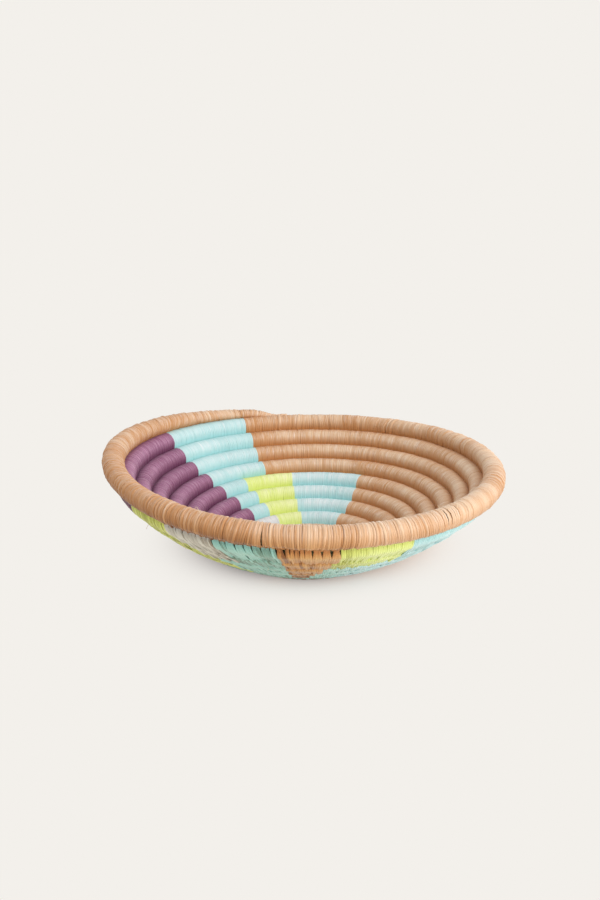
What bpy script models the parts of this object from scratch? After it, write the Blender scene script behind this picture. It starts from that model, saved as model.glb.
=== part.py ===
"""Coiled plateau basket: one long grass core wound from the base's middle out to the rim,
with a binding of coloured thread round every stretch of it.

The coil is one spiral. Its parameter is the turn number, counted inwards from the tapered
outer end: 0 is that end, 1 is one turn further in, and so on to the start of the coil.
Every piece is a tube along that spiral: the core is a solid tube, and each length of
binding is a sleeve round the core. Sizes are in millimetres and angles in degrees,
anticlockwise seen from above, with +X at 0 and the front of the basket at 270.
"""

import math

import bmesh
import bpy
import numpy as np

MM = 0.001

# Driving sizes of the bowl
RIM_DIAMETER = 200.0
BASE_RADIUS = 23.5
SEAM_ANGLE = 97.0

# Slope of the wall, from level, where the rim ends, one turn in, and where the base begins
RIM_SLOPE = 84.0
SHOULDER_SLOPE = 43.0
LOW_WALL_SLOPE = 19.0

# The rim isn't level: its left and right lie this much above its middle height, and its
# front and back as much below. The angle is that of its highest place on the right.
SADDLE_LIFT = 1.25
SADDLE_ANGLE = 5.0

# Its left side is lifted once more, by this much at this angle. The sharpness says how short
# the lifted stretch is, and the fade how fast the lift dies away down the wall.
SWELL_LIFT = 4.4
SWELL_ANGLE = 172.0
SWELL_SHARPNESS = 2.1
SWELL_FADE = 5.0

# The lower wall lies higher than its slope alone puts it, by this much in the end, reached at
# this share of the way from the base's edge to the rim
FOOT_LIFT = 1.5
FOOT_LIFT_REACH = 0.35

# Half sizes of the wrapped coil: along the wall, and across it inwards and outwards
RIM_HALF = 5.6
ROW_HALF = 4.5
WALL_HALF_IN = 4.6
WALL_HALF_OUT = 5.4
BASE_HALF_OUT = 5.0

# Turn numbers between which the rim's round section eases into the wall's, and between
# which its free top eases into one that carries the turn above
RIM_EASES = (0.9, 1.1)
RIM_GETS_COVERED = (0.75, 1.0)

# Gaps and walls
ROW_GAP = 0.6
BEND_ROOM_SHARE = 0.65
BINDING_THICKNESS = 0.9
CORE_CLEARANCE = 0.35
COLOUR_GAP = 0.4
BASE_CUT = 1.0

# Tapers at the two ends of the coil
END_TAPER_TURNS = 0.25
END_HALF = 2.0
TIP_LIFT = 0.15
START_TAPER_TURNS = 1.0
START_HALF = 2.0

# Fineness
LOOP_POINTS = 24
SIDES = 8
WALK_STEPS = 8
SHARP_ANGLE = 60.0

# Where the turns lie: one pitch apart, and the wall's last bend is one turn wide
ROW_PITCH = 2.0 * ROW_HALF + ROW_GAP
FOOT_RADIUS = BASE_RADIUS + ROW_PITCH

# Colours of the thread, as linear red, green and blue, and of the grass
COLOURS = {
    "tan": (0.66, 0.35, 0.19),
    "aqua": (0.50, 0.73, 0.74),
    "purple": (0.27, 0.11, 0.27),
    "lime": (0.60, 0.77, 0.14),
    "white": (0.78, 0.77, 0.72),
    "grass": (0.09, 0.09, 0.05),
}

# Each turn's lengths of thread, with the angle where each one ends. A turn runs from the
# seam angle round to the seam angle again, and its first length carries on the last
# length of the turn outside it where the two have the same colour.
TURN_THREADS = (
    (("tan", 457),),
    (("tan", 112), ("aqua", 144), ("purple", 208), ("lime", 225), ("white", 242),
     ("aqua", 261), ("tan", 279.5), ("lime", 302), ("aqua", 340), ("tan", 457)),
    (("tan", 111), ("aqua", 144), ("purple", 203), ("lime", 229), ("white", 244),
     ("aqua", 261.5), ("tan", 277.5), ("lime", 303), ("aqua", 338), ("tan", 457)),
    (("tan", 111), ("aqua", 143), ("purple", 212), ("lime", 237),
     ("aqua", 262), ("tan", 275.5), ("aqua", 335), ("tan", 457)),
    (("tan", 110), ("aqua", 141), ("purple", 215), ("lime", 241), ("aqua", 262),
     ("tan", 273), ("aqua", 330), ("tan", 421), ("aqua", 457)),
    (("lime", 123.5), ("aqua", 139.5), ("purple", 220), ("aqua", 262.5), ("tan", 271),
     ("aqua", 325), ("tan", 419), ("aqua", 457)),
    (("lime", 121.5), ("aqua", 137.5), ("purple", 225), ("aqua", 318), ("tan", 417),
     ("aqua", 456), ("lime", 457)),
    (("lime", 120.5), ("aqua", 136), ("purple", 230), ("tan", 418), ("aqua", 454), ("lime", 457)),
    (("lime", 118), ("white", 146), ("purple", 200), ("tan", 457)),
    (("aqua", 457),),
)
BASE_COLOUR = "tan"
SIDE_NAMES = ("right", "back_right", "back", "back_left", "left", "front_left", "front", "front_right")


def ease_between(value, low, high):
    """Smooth step from 0 at low to 1 at high."""
    t = min(max((value - low) / (high - low), 0.0), 1.0)
    return t * t * (3.0 - 2.0 * t)


def mix(a, b, t):
    return a + (b - a) * t


def bend_room(bend):
    """Extra pitch where neighbouring turns tilt towards each other by this angle."""
    facet_half = WALL_HALF_OUT * math.tan(math.pi / SIDES)
    return BEND_ROOM_SHARE * 2.0 * facet_half * math.sin(math.radians(bend) / 2.0)


def wall_slope(turn, radius, shoulder_radius):
    """Slope of the wall from level: steep at the rim, easing down to the flat base."""
    if turn < 1.0:
        return mix(RIM_SLOPE, SHOULDER_SLOPE, turn)
    if radius > FOOT_RADIUS:
        share = (shoulder_radius - radius) / (shoulder_radius - FOOT_RADIUS)
        return mix(SHOULDER_SLOPE, LOW_WALL_SLOPE, share)
    return LOW_WALL_SLOPE * max(0.0, (radius - BASE_RADIUS) / (FOOT_RADIUS - BASE_RADIUS))


def turn_pitch(turn, radius):
    """Distance along the wall from this point of the coil to the next turn in."""
    if turn < 1.0:
        return ROW_PITCH + bend_room(RIM_SLOPE - SHOULDER_SLOPE)
    if BASE_RADIUS < radius < FOOT_RADIUS:
        return ROW_PITCH + bend_room(LOW_WALL_SLOPE)
    return ROW_PITCH


def walk_profile():
    """Radius, height and slope of the coil's centre at even steps of the turn number."""
    step = 1.0 / (LOOP_POINTS * WALK_STEPS)
    turn, height = 0.0, 0.0
    radius = RIM_DIAMETER / 2.0 - RIM_HALF
    shoulder_radius = radius
    rows = [(turn, radius, height, RIM_SLOPE)]
    while radius > 0.0:
        slope = wall_slope(turn, radius, shoulder_radius)
        advance = turn_pitch(turn, radius) * step
        radius -= advance * math.cos(math.radians(slope))
        height -= advance * math.sin(math.radians(slope))
        turn += step
        if turn < 1.0:
            shoulder_radius = radius
        rows.append((turn, radius, height, wall_slope(turn, radius, shoulder_radius)))
    return np.array(rows)


PROFILE = walk_profile()
COIL_TURNS = float(PROFILE[-1, 0])
BASE_HEIGHT = float(PROFILE[-1, 2])
REST_HEIGHT = BASE_HEIGHT - BASE_HALF_OUT + BASE_CUT


def profile_at(turn):
    return [float(np.interp(turn, PROFILE[:, 0], PROFILE[:, column])) for column in (1, 2, 3)]


def taper(turn):
    """How full the coil is: 1 along its length, less towards both ends."""
    outer = max(END_HALF / RIM_HALF, math.sqrt(min(turn / END_TAPER_TURNS, 1.0)))
    inner = mix(START_HALF / ROW_HALF, 1.0, ease_between(COIL_TURNS - turn, 0.0, START_TAPER_TURNS))
    return min(outer, inner)


def half_sizes(turn):
    """Half sizes of the wrapped coil: up the wall, down the wall, inwards and outwards."""
    past_rim = ease_between(turn, *RIM_EASES)
    down_wall = ease_between(turn, 1.0, COIL_TURNS)
    size_in = mix(RIM_HALF, WALL_HALF_IN, past_rim)
    size_out = mix(RIM_HALF, mix(WALL_HALF_OUT, BASE_HALF_OUT, down_wall), past_rim)
    size_up = mix(RIM_HALF, ROW_HALF, ease_between(turn, *RIM_GETS_COVERED))
    return [taper(turn) * size for size in (size_up, ROW_HALF, size_in, size_out)]


def unevenness(radius, degrees):
    """How far the wall is lifted or lowered at this place, fading to nothing at the base."""
    share = max((radius - BASE_RADIUS) / (RIM_DIAMETER / 2.0 - BASE_RADIUS), 0.0)
    waves = SADDLE_LIFT * math.cos(2.0 * math.radians(degrees - SADDLE_ANGLE))
    nearness = math.exp(SWELL_SHARPNESS * (math.cos(math.radians(degrees - SWELL_ANGLE)) - 1.0))
    past_foot = FOOT_LIFT * ease_between(share, 0.0, FOOT_LIFT_REACH)
    return share * waves + SWELL_LIFT * share ** SWELL_FADE * nearness + past_foot


def section(turn, inset):
    """One ring of points round the coil, moved in by inset, and cut flat at the base."""
    radius, height, slope = profile_at(turn)
    up, down, inside, outside = (size - inset for size in half_sizes(turn))
    along = np.array((math.cos(math.radians(slope)), math.sin(math.radians(slope))))
    across = np.array((along[1], -along[0]))
    centre = np.array((radius, height))
    # A thinner stretch sits against the turn that carries it, not in the middle of its room
    carrier = np.array(profile_at(turn + 1.0 if turn < 1.0 else turn - 1.0)[:2]) - centre
    lean = (1.0 - taper(turn)) * (ROW_HALF - TIP_LIFT)
    centre = centre + carrier / np.linalg.norm(carrier) * lean
    degrees = SEAM_ANGLE + 360.0 * turn
    angle = math.radians(degrees)
    corner = 1.0 / math.cos(math.pi / SIDES)
    points = []
    for side in range(SIDES):
        turned = 2.0 * math.pi * (side + 0.5) / SIDES
        reach_along = corner * math.cos(turned) * (up if math.cos(turned) > 0.0 else down)
        reach_across = corner * math.sin(turned) * (outside if math.sin(turned) > 0.0 else inside)
        r, z = centre + along * reach_along + across * reach_across
        z = max(z + unevenness(r, degrees), REST_HEIGHT + inset)
        points.append((r * math.cos(angle), r * math.sin(angle), z))
    return np.array(points)


def loop_point(number):
    """Turn number of a loop point. They lie at even angles, with some on both axes."""
    return min(max(number / LOOP_POINTS - SEAM_ANGLE / 360.0, 0.0), COIL_TURNS)


def loop_point_before(turn):
    return math.floor((turn + SEAM_ANGLE / 360.0) * LOOP_POINTS + 1e-6)


def coil_stations(first, last):
    """Turn numbers of a stretch of coil: its two ends and the loop points between them."""
    numbers = range(loop_point_before(first) + 1, loop_point_before(last) + 1)
    between = [loop_point(number) for number in numbers]
    return [first] + [turn for turn in between if first + 1e-5 < turn < last - 1e-5] + [last]


def ring(turn, inset):
    """A ring on the faceted coil: between two loop points it lies on their straight edges."""
    number = loop_point_before(turn)
    low, high = loop_point(number), loop_point(number + 1)
    if high <= low:
        return section(turn, inset)
    return mix(section(low, inset), section(high, inset), (turn - low) / (high - low))


def gap_between_rings(inner, outer):
    """Least distance between two sections of neighbouring turns, on points of their edges."""
    share = np.linspace(0.0, 1.0, 9)[:-1, None]
    clouds = []
    for points in (inner, outer):
        following = np.roll(points, -1, axis=0)
        clouds.append(np.vstack([p + (q - p) * share for p, q in zip(points, following)]))
    return float(np.linalg.norm(clouds[0][:, None] - clouds[1][None], axis=2).min())


def least_gap(inset):
    """Least gap of the coil to itself, one turn in, at every loop point and between them."""
    turns = np.arange(0.0, COIL_TURNS - 1.0, 0.5 / LOOP_POINTS)
    return min(gap_between_rings(ring(t, inset), ring(t + 1.0, inset)) for t in turns)


# Points on the two outermost turns, which reach the farthest out and up, and the middle
# of the basket's box in plan
OUTER_POINTS = np.vstack([ring(t, 0.0) for t in coil_stations(0.0, 2.0)])
CENTRE = (OUTER_POINTS[:, :2].min(axis=0) + OUTER_POINTS[:, :2].max(axis=0)) / 2.0


def add_ring(mesh, turn, inset):
    points = ring(turn, inset)
    points[:, :2] -= CENTRE
    points[:, 2] -= REST_HEIGHT
    return [mesh.verts.new(point * MM) for point in points]


def join_rings(mesh, one, other, outwards):
    """Faces between two rings of as many points, facing out of or into the tube."""
    for side in range(SIDES):
        after = (side + 1) % SIDES
        corners = (one[side], other[side], other[after], one[after])
        mesh.faces.new(corners if outwards else corners[::-1])


def make_object(name, mesh, colour):
    data = bpy.data.meshes.new(name)
    bmesh.ops.recalc_face_normals(mesh, faces=mesh.faces)
    mesh.to_mesh(data)
    mesh.free()
    data.shade_smooth()
    data.set_sharp_from_angle(angle=math.radians(SHARP_ANGLE))
    data.materials.append(thread_material(colour))
    item = bpy.data.objects.new(name, data)
    bpy.context.scene.collection.objects.link(item)
    return item


def thread_material(colour):
    name = colour + ("_stalks" if colour == "grass" else "_thread")
    known = bpy.data.materials.get(name)
    if known:
        return known
    made = bpy.data.materials.new(name)
    made.use_nodes = True
    shader = made.node_tree.nodes["Principled BSDF"]
    shader.inputs["Base Color"].default_value = (*COLOURS[colour], 1.0)
    shader.inputs["Roughness"].default_value = 0.75
    shader.inputs["Metallic"].default_value = 0.0
    return made


def make_core():
    """The grass bundle: one unbroken tube along the whole coil, closed at both ends."""
    inset = BINDING_THICKNESS + CORE_CLEARANCE
    mesh = bmesh.new()
    rings = [add_ring(mesh, turn, inset) for turn in coil_stations(0.0, COIL_TURNS)]
    for one, other in zip(rings, rings[1:]):
        join_rings(mesh, one, other, True)
    mesh.faces.new(rings[0][::-1])
    mesh.faces.new(rings[-1])
    return make_object("grass_core", mesh, "grass")


def make_binding(name, colour, first, last):
    """One length of thread round the core: a sleeve from one turn number to another."""
    mesh = bmesh.new()
    stations = coil_stations(first, last)
    outer = [add_ring(mesh, turn, 0.0) for turn in stations]
    inner = [add_ring(mesh, turn, BINDING_THICKNESS) for turn in stations]
    for skin, outwards in ((outer, True), (inner, False)):
        for one, other in zip(skin, skin[1:]):
            join_rings(mesh, one, other, outwards)
    join_rings(mesh, inner[0], outer[0], True)
    join_rings(mesh, outer[-1], inner[-1], True)
    return make_object(name, mesh, colour)


def thread_lengths():
    """Every length of thread as (row, colour, first turn, last turn), from the rim inwards."""
    lengths = []
    for row in range(math.ceil(COIL_TURNS)):
        base_row = row >= len(TURN_THREADS)
        threads = ((BASE_COLOUR, SEAM_ANGLE + 360.0),) if base_row else TURN_THREADS[row]
        start = float(row)
        for colour, angle in threads:
            end = min(row + (angle - SEAM_ANGLE) / 360.0, COIL_TURNS)
            scrap = end == COIL_TURNS and end - start < 0.5 / LOOP_POINTS
            carries_on = lengths and lengths[-1][1] == colour
            if scrap or carries_on:
                lengths[-1][3] = end
            else:
                lengths.append([row, colour, start, end])
            start = end
    return lengths


def length_name(row, colour, first, last):
    if row == 0:
        return "rim_binding_" + colour
    if row >= len(TURN_THREADS):
        return "base_binding_" + colour
    if len(TURN_THREADS[row]) == 1:
        return f"binding_row_{row:02d}_{colour}_all_round"
    middle = (first + last) / 2.0
    side = SIDE_NAMES[round((SEAM_ANGLE + 360.0 * middle) % 360.0 / 45.0) % len(SIDE_NAMES)]
    return f"binding_row_{math.floor(middle):02d}_{colour}_{side}"


def shorten(first, last):
    """Draw the ends of a length in by half the gap that it keeps to the next colour."""
    ends = []
    for turn, towards in ((first, 1.0), (last, -1.0)):
        radius = max(profile_at(turn)[0], ROW_HALF)
        share = COLOUR_GAP / 2.0 / (2.0 * math.pi * radius)
        at_coil_end = turn <= 0.0 or turn >= COIL_TURNS
        ends.append(turn if at_coil_end else turn + towards * share)
    return ends


def main():
    for old in list(bpy.data.objects):
        bpy.data.objects.remove(old, do_unlink=True)
    make_core()
    for row, colour, first, last in thread_lengths():
        make_binding(length_name(row, colour, first, last), colour, *shorten(first, last))
    print(f"coil: {COIL_TURNS:.2f} turns, height {OUTER_POINTS[:, 2].max() - REST_HEIGHT:.1f} mm")
    print(f"least gap between turns: bindings {least_gap(0.0):.3f} mm,",
          f"core {least_gap(BINDING_THICKNESS + CORE_CLEARANCE):.3f} mm")


main()
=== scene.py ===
# %% [markdown]
# # A coiled plateau basket
# The basket is one long bundle of grass, wound in a spiral from the middle of the base to the
# rim. Flat thread is wrapped round the bundle all the way, and every wrap is also sewn through
# the turn below it, so the thread is both the skin and the seam. This script loads the plain
# model of that coil as a fixed frame and sews the thread over it, one stitch at a time.

# %% Load the frame
import math

import bpy
import numpy as np
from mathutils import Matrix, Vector


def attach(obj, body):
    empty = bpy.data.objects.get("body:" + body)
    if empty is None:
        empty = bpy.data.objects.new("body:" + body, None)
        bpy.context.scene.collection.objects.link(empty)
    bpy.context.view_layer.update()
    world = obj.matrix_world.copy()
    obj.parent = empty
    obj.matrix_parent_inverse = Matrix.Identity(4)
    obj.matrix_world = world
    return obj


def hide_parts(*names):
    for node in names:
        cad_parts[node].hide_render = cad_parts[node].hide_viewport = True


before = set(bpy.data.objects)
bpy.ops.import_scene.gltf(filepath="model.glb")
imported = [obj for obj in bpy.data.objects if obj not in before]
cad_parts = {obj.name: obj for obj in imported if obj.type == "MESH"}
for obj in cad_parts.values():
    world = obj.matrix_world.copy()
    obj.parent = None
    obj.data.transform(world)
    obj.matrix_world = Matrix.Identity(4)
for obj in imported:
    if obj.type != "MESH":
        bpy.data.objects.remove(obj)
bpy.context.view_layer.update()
MM = 0.001

# %% [markdown]
# ## The spiral
# A turn number says where we are on the coil: 0 at the tapered outer end, 1 after one turn
# inwards, and so on to the start of the coil. Two things follow from it: the angle round the
# basket, and the place on the bowl's profile. The profile is walked step by step, because
# that is how such a basket grows: each turn lies one thickness below the last, at the slope
# that the maker gives the wall. Lengths are in millimetres until a mesh is made.

# %% Walk the profile of the bowl
RIM_RADIUS = 94.4
BASE_RADIUS = 23.5
SEAM_ANGLE = 97.0
RIM_SLOPE, SHOULDER_SLOPE, LOW_WALL_SLOPE = 84.0, 43.0, 19.0
ROW_PITCH = 9.6
RIM_BEND_ROOM, FOOT_BEND_ROOM = 1.02, 0.48
FOOT_RADIUS = BASE_RADIUS + ROW_PITCH
STEPS_PER_TURN = 192


def wall_slope(turn, radius, shoulder_radius):
    """Slope of the wall from level: steep at the rim, easing down to the flat base."""
    if turn < 1.0:
        return RIM_SLOPE + (SHOULDER_SLOPE - RIM_SLOPE) * turn
    if radius > FOOT_RADIUS:
        share = (shoulder_radius - radius) / (shoulder_radius - FOOT_RADIUS)
        return SHOULDER_SLOPE + (LOW_WALL_SLOPE - SHOULDER_SLOPE) * share
    return LOW_WALL_SLOPE * max(0.0, (radius - BASE_RADIUS) / ROW_PITCH)


def row_pitch(turn, radius):
    """Distance from one turn to the next, a little more where the wall bends."""
    if turn < 1.0:
        return ROW_PITCH + RIM_BEND_ROOM
    return ROW_PITCH + (FOOT_BEND_ROOM if BASE_RADIUS < radius < FOOT_RADIUS else 0.0)


def walk_profile():
    """Turn number, radius, height, slope and length of coil at even steps of the turn number."""
    turn, radius, height, length, shoulder_radius = 0.0, RIM_RADIUS, 0.0, 0.0, RIM_RADIUS
    rows = [(turn, radius, height, RIM_SLOPE, length)]
    while radius > 0.0:
        slope = wall_slope(turn, radius, shoulder_radius)
        advance = row_pitch(turn, radius) / STEPS_PER_TURN
        radius -= advance * math.cos(math.radians(slope))
        height -= advance * math.sin(math.radians(slope))
        turn += 1.0 / STEPS_PER_TURN
        length += 2.0 * math.pi * max(radius, 0.0) / STEPS_PER_TURN
        if turn < 1.0:
            shoulder_radius = radius
        rows.append((turn, radius, height, wall_slope(turn, radius, shoulder_radius), length))
    return np.array(rows).T


PROFILE = walk_profile()
COIL_TURNS, COIL_LENGTH = PROFILE[0, -1], PROFILE[4, -1]
print(f"coil: {COIL_TURNS:.2f} turns, {COIL_LENGTH / 1000.0:.2f} m long, {-PROFILE[2, -1]:.1f} mm deep")

# %% [markdown]
# ## How thick the coil is
# The wrapped coil is round at the rim and a little flatter in the wall, where the rows press
# on each other. It thins out at both ends, over a quarter turn at the rim, and a thin stretch
# leans on the row that carries it. The bowl stands on its base, so the sizes also give the
# height of the spiral's zero. The rim of the real basket isn't level either: its sides stand
# a little higher than its front and back, and its left side highest, as on any hand-made bowl.

# %% Sizes along the coil
# Half sizes of the wrapped coil: up and down the wall, then into the bowl and out of it
RIM_HALF, RIM_LAST_HALF, ROW_HALF = 5.6, 4.5, 4.75
WALL_HALF_IN, WALL_HALF_OUT = 4.6, 5.4
BASE_HALF_IN, BASE_HALF_OUT = 3.4, 5.0
# Turn numbers between which one half size becomes the next
RIM_THINS, ROW_THICKENS = (0.5, 0.95), (1.0, 1.1)
RIM_FLATTENS, BASE_FLATTENS = (0.9, 1.1), (8.0, 8.9)
# The coil's two ends: the length of the taper and the least half size, and for the outer one
# also how full it stays, where its tip drops away and how far that leans on the row below
END_TAPER_TURNS, END_HALF = 0.27, 0.9
END_FULLNESS, END_TIP, END_LEAN = 0.4, (-0.015, 0.035), 7.2
START_TAPER_TURNS, START_HALF = 0.7, 3.4
# The base is cut flat this deep, and the basket rests on the cut
BASE_CUT = 1.0
REST_HEIGHT = PROFILE[2, -1] - BASE_HALF_OUT + BASE_CUT
# The spiral's axis in the frame, then the wall's unevenness: two high sides, a swell at the
# left, and a lift just past the foot
AXIS = np.array((1.03, 1.98))
SADDLE_LIFT, SADDLE_ANGLE = 1.25, 5.0
SWELL_LIFT, SWELL_ANGLE, SWELL_SHARPNESS, SWELL_FADE = 4.4, 172.0, 2.1, 5.0
FOOT_LIFT, FOOT_LIFT_REACH = 1.5, 0.35


def ease(value, low, high):
    """Smooth step from 0 at low to 1 at high."""
    t = np.clip((value - low) / (high - low), 0.0, 1.0)
    return t * t * (3.0 - 2.0 * t)


def mix(a, b, t):
    return a + (b - a) * t


def unevenness(radius, degrees):
    """How far the wall is lifted or lowered at this place, fading to nothing at the base."""
    share = np.maximum((radius - BASE_RADIUS) / (RIM_RADIUS + RIM_HALF - BASE_RADIUS), 0.0)
    waves = SADDLE_LIFT * np.cos(2.0 * np.radians(degrees - SADDLE_ANGLE))
    nearness = np.exp(SWELL_SHARPNESS * (np.cos(np.radians(degrees - SWELL_ANGLE)) - 1.0))
    past_foot = FOOT_LIFT * ease(share, 0.0, FOOT_LIFT_REACH)
    return share * waves + SWELL_LIFT * share ** SWELL_FADE * nearness + past_foot


# %% Sections of the coil
def fullness(turn):
    """1 where the coil has its full thickness, and less towards its two ends."""
    outer_end = np.clip(turn / END_TAPER_TURNS, 0.0, 1.0) ** END_FULLNESS * ease(turn, *END_TIP)
    outer_end = np.maximum(END_HALF / RIM_HALF, outer_end)
    inner_end = mix(START_HALF / ROW_HALF, 1.0, ease(COIL_TURNS - turn, 0.0, START_TAPER_TURNS))
    return np.minimum(outer_end, inner_end)


def section_at(turn):
    """The coil's cross-section: its centre, two directions and four half sizes, in radius and height."""
    turn = np.minimum(turn, COIL_TURNS)
    radius, height, slope = (np.interp(turn, PROFILE[0], PROFILE[row]) for row in (1, 2, 3))
    slope = np.radians(slope)
    along = np.stack([np.cos(slope), np.sin(slope)], axis=-1)
    across = np.stack([np.sin(slope), -np.cos(slope)], axis=-1)
    centre = np.stack([radius, height], axis=-1)
    carrier_turn = np.where(turn < 1.0, turn + 1.0, turn - 1.0)
    carrier = np.stack([np.interp(carrier_turn, PROFILE[0], PROFILE[row]) for row in (1, 2)], axis=-1)
    towards = (carrier - centre) / np.linalg.norm(carrier - centre, axis=-1, keepdims=True)
    full = fullness(turn)
    lean = np.where(turn < 1.0, END_LEAN, ROW_HALF)
    centre = centre + towards * ((1.0 - full) * lean)[..., None]
    past_rim = ease(turn, *RIM_FLATTENS)
    half_up = mix(RIM_LAST_HALF, ROW_HALF, ease(turn, *ROW_THICKENS))
    half_up = mix(RIM_HALF, half_up, ease(turn, *RIM_THINS))
    wall_in = mix(WALL_HALF_IN, BASE_HALF_IN, ease(turn, *BASE_FLATTENS))
    wall_out = mix(WALL_HALF_OUT, BASE_HALF_OUT, ease(turn, 1.0, COIL_TURNS))
    return {
        "centre": centre, "along": along, "across": across, "past_rim": past_rim,
        "up": full * half_up,
        "down": np.minimum(full * ROW_HALF, centre[..., 0]),
        "in": full * mix(RIM_HALF, wall_in, past_rim),
        "out": full * mix(RIM_HALF, wall_out, past_rim),
    }


def on_section(section, degrees, share=1.0):
    """Points of the outline at these angles: 0 is up the wall, 90 outside, 180 down, -90 inside."""
    cosine, sine = np.cos(np.radians(degrees)), np.sin(np.radians(degrees))
    size = {name: section[name][:, None] for name in ("up", "down", "in", "out")}
    reach_along = share * cosine * np.where(cosine > 0.0, size["up"], size["down"])
    reach_across = share * sine * np.where(sine > 0.0, size["out"], size["in"])
    return (section["centre"][:, None] + reach_along[..., None] * section["along"][:, None]
            + reach_across[..., None] * section["across"][:, None])


def place_on_coil(turn, radius_height, aside=0.0):
    """Points in space for points of the section at these turn numbers, moved aside along the coil."""
    radius, degrees = radius_height[..., 0], SEAM_ANGLE + 360.0 * turn
    out_x, out_y = np.cos(np.radians(degrees)), np.sin(np.radians(degrees))
    height = radius_height[..., 1] - REST_HEIGHT + unevenness(radius, degrees)
    return np.stack([AXIS[0] + radius * out_x - aside * out_y, AXIS[1] + radius * out_y + aside * out_x,
                     height], axis=-1)


rim_section = section_at(np.array((0.25, 0.5)))
print("rim: half heights of", np.round(rim_section["up"], 2), "mm at a quarter turn and half a turn")

# %% [markdown]
# ## Where each colour runs
# The frame has one node for each length of thread, named for its colour. Where it starts on
# the coil is read back from its own vertices: their angle gives the part of a turn, and the
# nearest row of the spiral gives which turn. A few corners lie nearer to the wrong row, so
# each is brought within half a turn of the middle one. That can't work for a length that goes
# all round, which starts where its name says. So the pattern stays the frame's own.

# %% Read the lengths of thread from the frame
COLOURS = ("tan", "aqua", "purple", "lime", "white")
FIRST_BASE_TURN = 10.0


def colour_of(node):
    return next((colour for colour in COLOURS if colour in node.split("_")), "tan")


def start_of(node):
    """The turn number where a length of thread starts."""
    if node.startswith("rim"):
        return 0.0
    if node.startswith("base"):
        return FIRST_BASE_TURN
    if node.endswith("all_round"):
        return float(node.split("_row_")[1][:2])
    points = np.array([vertex.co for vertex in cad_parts[node].data.vertices]) / MM
    x, y = points[:, 0] - AXIS[0], points[:, 1] - AXIS[1]
    part = (np.degrees(np.arctan2(y, x)) - SEAM_ANGLE) % 360.0 / 360.0
    turns = part[:, None] + np.arange(math.floor(COIL_TURNS))
    radius, height = (np.interp(turns, PROFILE[0], PROFILE[row]) for row in (1, 2))
    distance = np.hypot(np.hypot(x, y)[:, None] - radius, points[:, 2:] + REST_HEIGHT - height)
    turns = turns[np.arange(len(turns)), distance.argmin(axis=1)]
    middle = np.median(turns)
    return float(((turns - middle + 0.5) % 1.0 - 0.5 + middle).min())


starts = sorted((start_of(node), node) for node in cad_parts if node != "grass_core")
ends = [start for start, node in starts[1:]] + [COIL_TURNS]
runs = [(start, end, node) for (start, node), end in zip(starts, ends)]
print(f"thread: {len(runs)} lengths, the shortest {min(end - start for start, end, node in runs):.3f} turns")

# %% [markdown]
# ## What differs from stitch to stitch
# No two stitches are alike, and most differences run in stretches: the maker pulls harder for
# a while, a lump of grass lies under twenty stitches, and one strand of fibre, with its own
# shade, lasts for about fifteen. So these are drawn as slow changes along the coil, from seeds
# that all lengths of thread share, and only the last small part is drawn for each stitch.
# Light and shade are painted in by the side of the basket: the rim is darker on the left and paler on the
# right, and inside, the back left is darker than the back.

# %% Slow changes along the coil
# How many stitches a strand lasts, and its least, most common and greatest shade
STRAND_STITCHES, STRAND_TONES = (8, 26), (0.15, 0.5, 0.85)
PATCH_TONE = 0.15
TONE_SPREAD_WALL, TONE_SPREAD_RIM, TONE_RANGE = 0.14, 0.19, (-0.3, 1.2)
# Painted light and shade, added to each stitch's shade by angle round the basket
RIM_PAINTED_LIGHT_AT = (90.0, 160.0, 205.0, 240.0, 270.0, 310.0, 345.0)
RIM_PAINTED_LIGHT = (-0.05, -0.35, -0.5, -0.35, 0.0, 0.35, 0.05)
WALL_PAINTED_LIGHT_AT = (50.0, 75.0, 97.0, 112.0, 145.0, 190.0, 220.0)
WALL_PAINTED_LIGHT = (0.0, 0.15, 0.1, -0.3, -0.35, -0.2, 0.0)


def drifting(seed, spacing):
    """A function of the place along the coil that changes slowly between -1 and 1."""
    knots = np.random.default_rng(seed).uniform(-1.0, 1.0, int(COIL_LENGTH / spacing) + 3)

    def at(places):
        low = (places / spacing).astype(int)
        return mix(knots[low], knots[low + 1], ease(places / spacing - low, 0.0, 1.0))

    return at


lean_drift = drifting(seed=3, spacing=17.0)
lump_drift = drifting(seed=4, spacing=8.0)
patch_drift = drifting(seed=5, spacing=13.0)


def round_basket(turn, at_angles, values):
    """A value that is given at some angles round the basket, at these turn numbers."""
    return np.interp(SEAM_ANGLE + 360.0 * turn, at_angles, values, period=360.0)


def tones_and_painted_light(places, turn, on_rim, rng):
    """The shade of each stitch, 0 dark to 1 pale: by place, by strand, by painted light and shade round the
    basket, and a little by stitch.
    """
    count = len(places)
    strands = rng.integers(*STRAND_STITCHES, count)
    tones = np.repeat(rng.triangular(*STRAND_TONES, count), strands)[:count]
    tones += PATCH_TONE * patch_drift(places)
    # Painted light and shade by the side of the basket, on the rim and on the wall
    tones += round_basket(turn, RIM_PAINTED_LIGHT_AT, RIM_PAINTED_LIGHT) * on_rim
    tones += round_basket(turn, WALL_PAINTED_LIGHT_AT, WALL_PAINTED_LIGHT) * (1.0 - on_rim)
    tones += mix(TONE_SPREAD_WALL, TONE_SPREAD_RIM, on_rim) * rng.normal(0.0, 1.0, count)
    return np.clip(tones, *TONE_RANGE)


print("rim shades by angle:", *zip(RIM_PAINTED_LIGHT_AT, RIM_PAINTED_LIGHT))

# %% [markdown]
# ## The path of one stitch
# A stitch goes over the grass inside the bowl, up and over its own row, down the outside, a
# little way over the row below, and there it dives in and comes back under its own row. A
# ring round the coil would miss that lap, which is what makes the outside look smooth and
# the inside ribbed. So each stitch is a closed line of sixteen points, most of them on its
# own row's outline and the last few on the row below, all worked out at once with arrays.
# The innermost turn has no row below, so its stitches close round their own row.

# %% Lay out the stitches
OWN_POINTS = 12
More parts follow.
